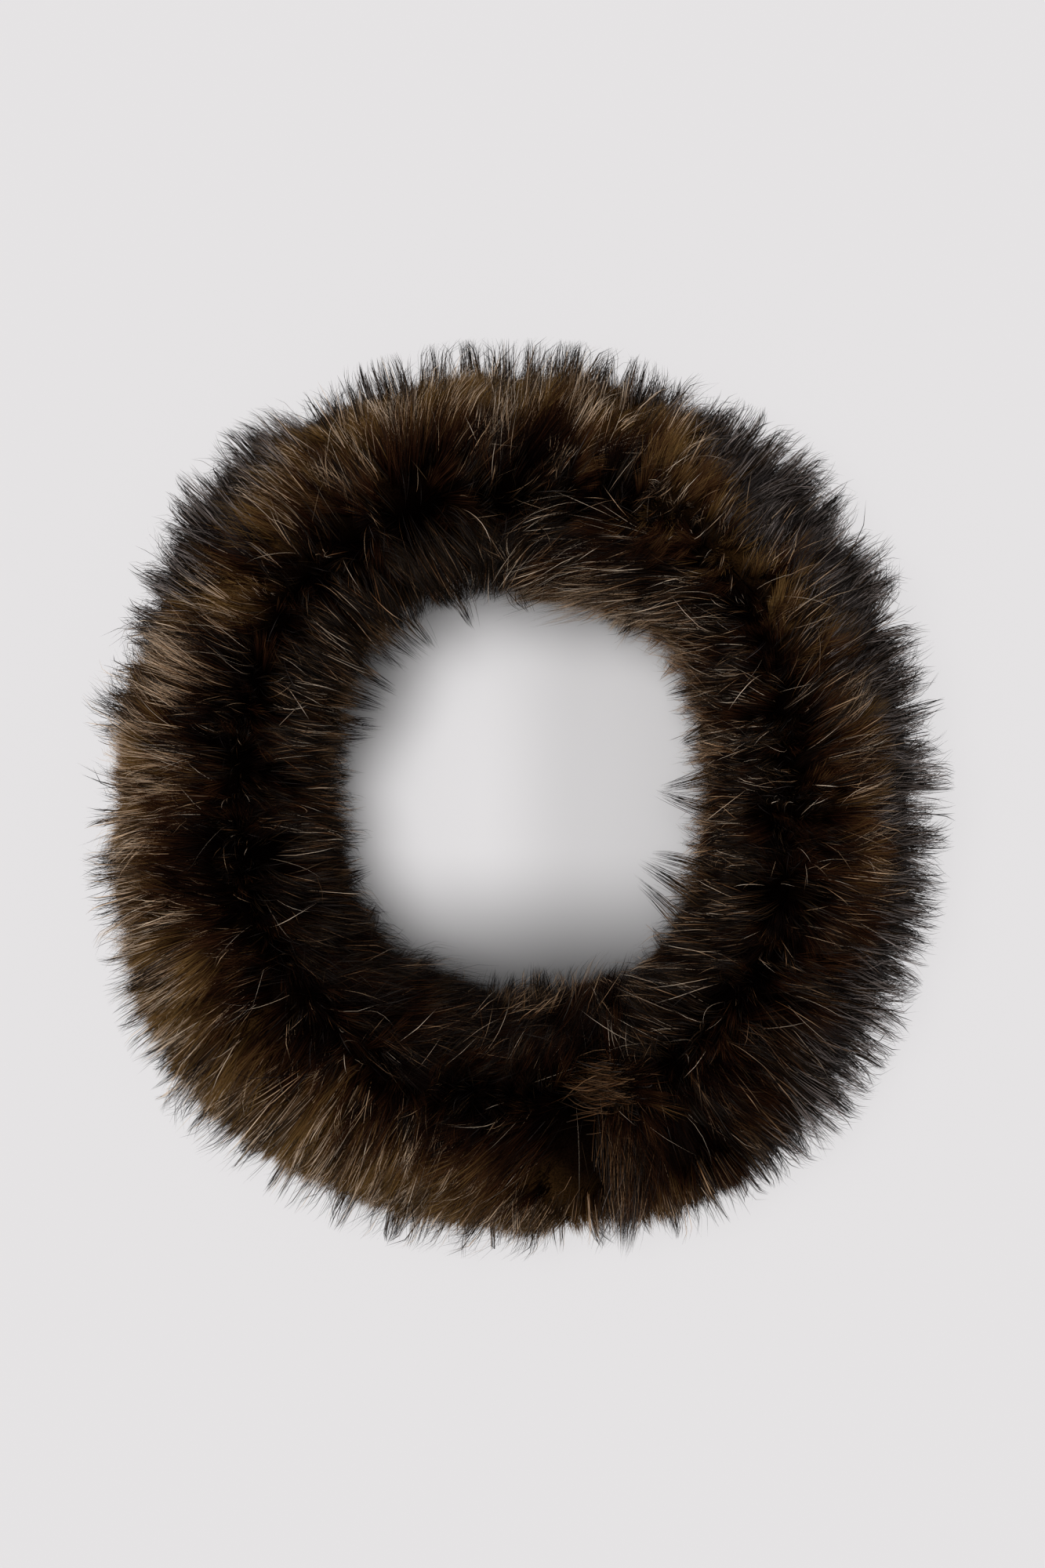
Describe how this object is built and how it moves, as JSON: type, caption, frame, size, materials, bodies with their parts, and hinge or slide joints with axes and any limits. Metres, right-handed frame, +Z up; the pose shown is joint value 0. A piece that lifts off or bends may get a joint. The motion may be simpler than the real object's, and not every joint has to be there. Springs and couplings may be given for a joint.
{
  "type": "fur collar wrap",
  "caption": "Long-pile fur collar lying in a ring: a cloth tube sewn from an outer and a neck panel, its ends meeting at the front.",
  "frame": {"origin": "on the surface that the collar lies on, under the middle of the outline of its pile", "axes": "+Z up, out of the surface; +Y to the back of the neck; -Y to the front, where the two ends meet; +X to the right seen from above with the front nearest"},
  "size_m": [0.3665, 0.3934, 0.0825],
  "materials": {
    "backing": "dark knitted backing of the fur cloth",
    "fur": "long-pile brown fur with tan and black guard hairs"
  },
  "bodies": {
    "root": {"outer_panel": "backing", "neck_panel": "backing", "outer_pile": "fur", "neck_pile": "fur"}
  },
  "joints": []
}
